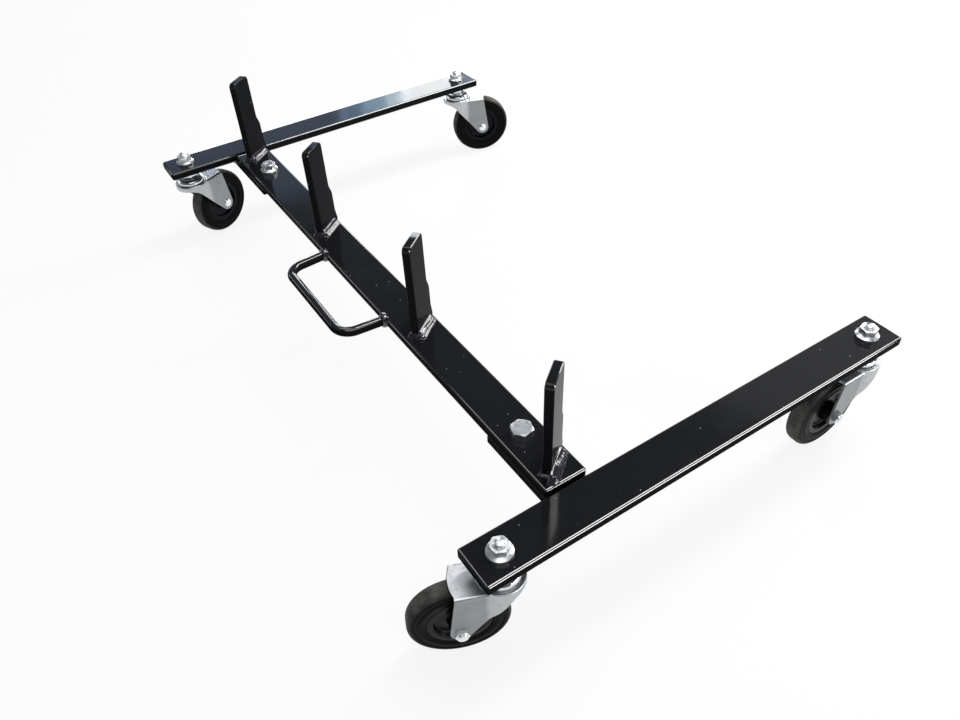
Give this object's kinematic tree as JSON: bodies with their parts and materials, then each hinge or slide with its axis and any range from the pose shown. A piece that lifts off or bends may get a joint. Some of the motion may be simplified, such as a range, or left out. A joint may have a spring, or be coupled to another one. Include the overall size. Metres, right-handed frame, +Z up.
{
  "type": "rolling dolly rack",
  "caption": "Low rolling rack with an off-centre main bar between two cross bars on swivel casters; upright posts and a side handle carry and move stacked wheel dollies.",
  "frame": {"origin": "on the floor at the centre of the caster stems' rectangle", "axes": "+X along the cross bars away from the handle side, +Y along the main bar from the near cross bar to the far one, +Z up"},
  "size_m": [0.6766, 0.9449, 0.262],
  "materials": {
    "black_paint": "gloss",
    "painted_weld": "gloss",
    "zinc_sheet": "satin",
    "zinc_fastener": "semi-gloss",
    "bearing_steel": "polished",
    "black_rubber": "matte",
    "black_plastic": "semi-gloss"
  },
  "bodies": {
    "frame": {"near_cross_bar": "black_paint", "far_cross_bar": "black_paint", "main_bar": "black_paint", "near_stub_plate": "black_paint", "far_stub_plate": "black_paint", "post_1": "black_paint", "post_2": "black_paint", "post_3": "black_paint", "post_4": "black_paint", "handle": "black_paint", "post_welds": "painted_weld", "handle_welds": "painted_weld", "stub_welds": "painted_weld", "near_joint_bolt": "zinc_fastener", "near_joint_nut": "zinc_fastener", "far_joint_bolt": "zinc_fastener", "far_joint_nut": "zinc_fastener", "stem_nuts": "zinc_fastener", "kingpin_washers": "zinc_fastener", "near_left_stem": "zinc_fastener", "near_left_race_cap": "zinc_sheet", "near_right_stem": "zinc_fastener", "near_right_race_cap": "zinc_sheet", "far_left_stem": "zinc_fastener", "far_left_race_cap": "zinc_sheet", "far_right_stem": "zinc_fastener", "far_right_race_cap": "zinc_sheet"},
    "near_left_swivel": {"near_left_fork": "zinc_sheet", "near_left_balls": "bearing_steel", "near_left_axle_bolt": "zinc_fastener", "near_left_axle_nut": "zinc_fastener", "near_left_axle_bush": "bearing_steel"},
    "near_left_wheel": {"near_left_tyre": "black_rubber", "near_left_wheel_core": "black_plastic"},
    "near_right_swivel": {"near_right_fork": "zinc_sheet", "near_right_balls": "bearing_steel", "near_right_axle_bolt": "zinc_fastener", "near_right_axle_nut": "zinc_fastener", "near_right_axle_bush": "bearing_steel"},
    "near_right_wheel": {"near_right_tyre": "black_rubber", "near_right_wheel_core": "black_plastic"},
    "far_left_swivel": {"far_left_fork": "zinc_sheet", "far_left_balls": "bearing_steel", "far_left_axle_bolt": "zinc_fastener", "far_left_axle_nut": "zinc_fastener", "far_left_axle_bush": "bearing_steel"},
    "far_left_wheel": {"far_left_tyre": "black_rubber", "far_left_wheel_core": "black_plastic"},
    "far_right_swivel": {"far_right_fork": "zinc_sheet", "far_right_balls": "bearing_steel", "far_right_axle_bolt": "zinc_fastener", "far_right_axle_nut": "zinc_fastener", "far_right_axle_bush": "bearing_steel"},
    "far_right_wheel": {"far_right_tyre": "black_rubber", "far_right_wheel_core": "black_plastic"}
  },
  "joints": [
    {"name": "near_left_swivel_turn", "type": "hinge", "parent": "frame", "child": "near_left_swivel", "pos_m": [-0.25, -0.435, 0.106], "axis": [0, 0, 1], "continuous": true},
    {"name": "near_left_wheel_roll", "type": "hinge", "parent": "near_left_swivel", "child": "near_left_wheel", "pos_m": [-0.2888, -0.41893, 0.0508], "axis": [0.3827, 0.9239, 0], "continuous": true},
    {"name": "near_right_swivel_turn", "type": "hinge", "parent": "frame", "child": "near_right_swivel", "pos_m": [0.25, -0.435, 0.106], "axis": [0, 0, 1], "continuous": true},
    {"name": "near_right_wheel_roll", "type": "hinge", "parent": "near_right_swivel", "child": "near_right_wheel", "pos_m": [0.208, -0.435, 0.0508], "axis": [0, 1, 0], "continuous": true},
    {"name": "far_left_swivel_turn", "type": "hinge", "parent": "frame", "child": "far_left_swivel", "pos_m": [-0.25, 0.435, 0.106], "axis": [0, 0, 1], "continuous": true},
    {"name": "far_left_wheel_roll", "type": "hinge", "parent": "far_left_swivel", "child": "far_left_wheel", "pos_m": [-0.21225, 0.45341, 0.0508], "axis": [0.4384, -0.8988, 0], "continuous": true},
    {"name": "far_right_swivel_turn", "type": "hinge", "parent": "frame", "child": "far_right_swivel", "pos_m": [0.25, 0.435, 0.106], "axis": [0, 0, 1], "continuous": true},
    {"name": "far_right_wheel_roll", "type": "hinge", "parent": "far_right_swivel", "child": "far_right_wheel", "pos_m": [0.28934, 0.42029, 0.0508], "axis": [-0.3502, -0.9367, 0], "continuous": true}
  ]
}
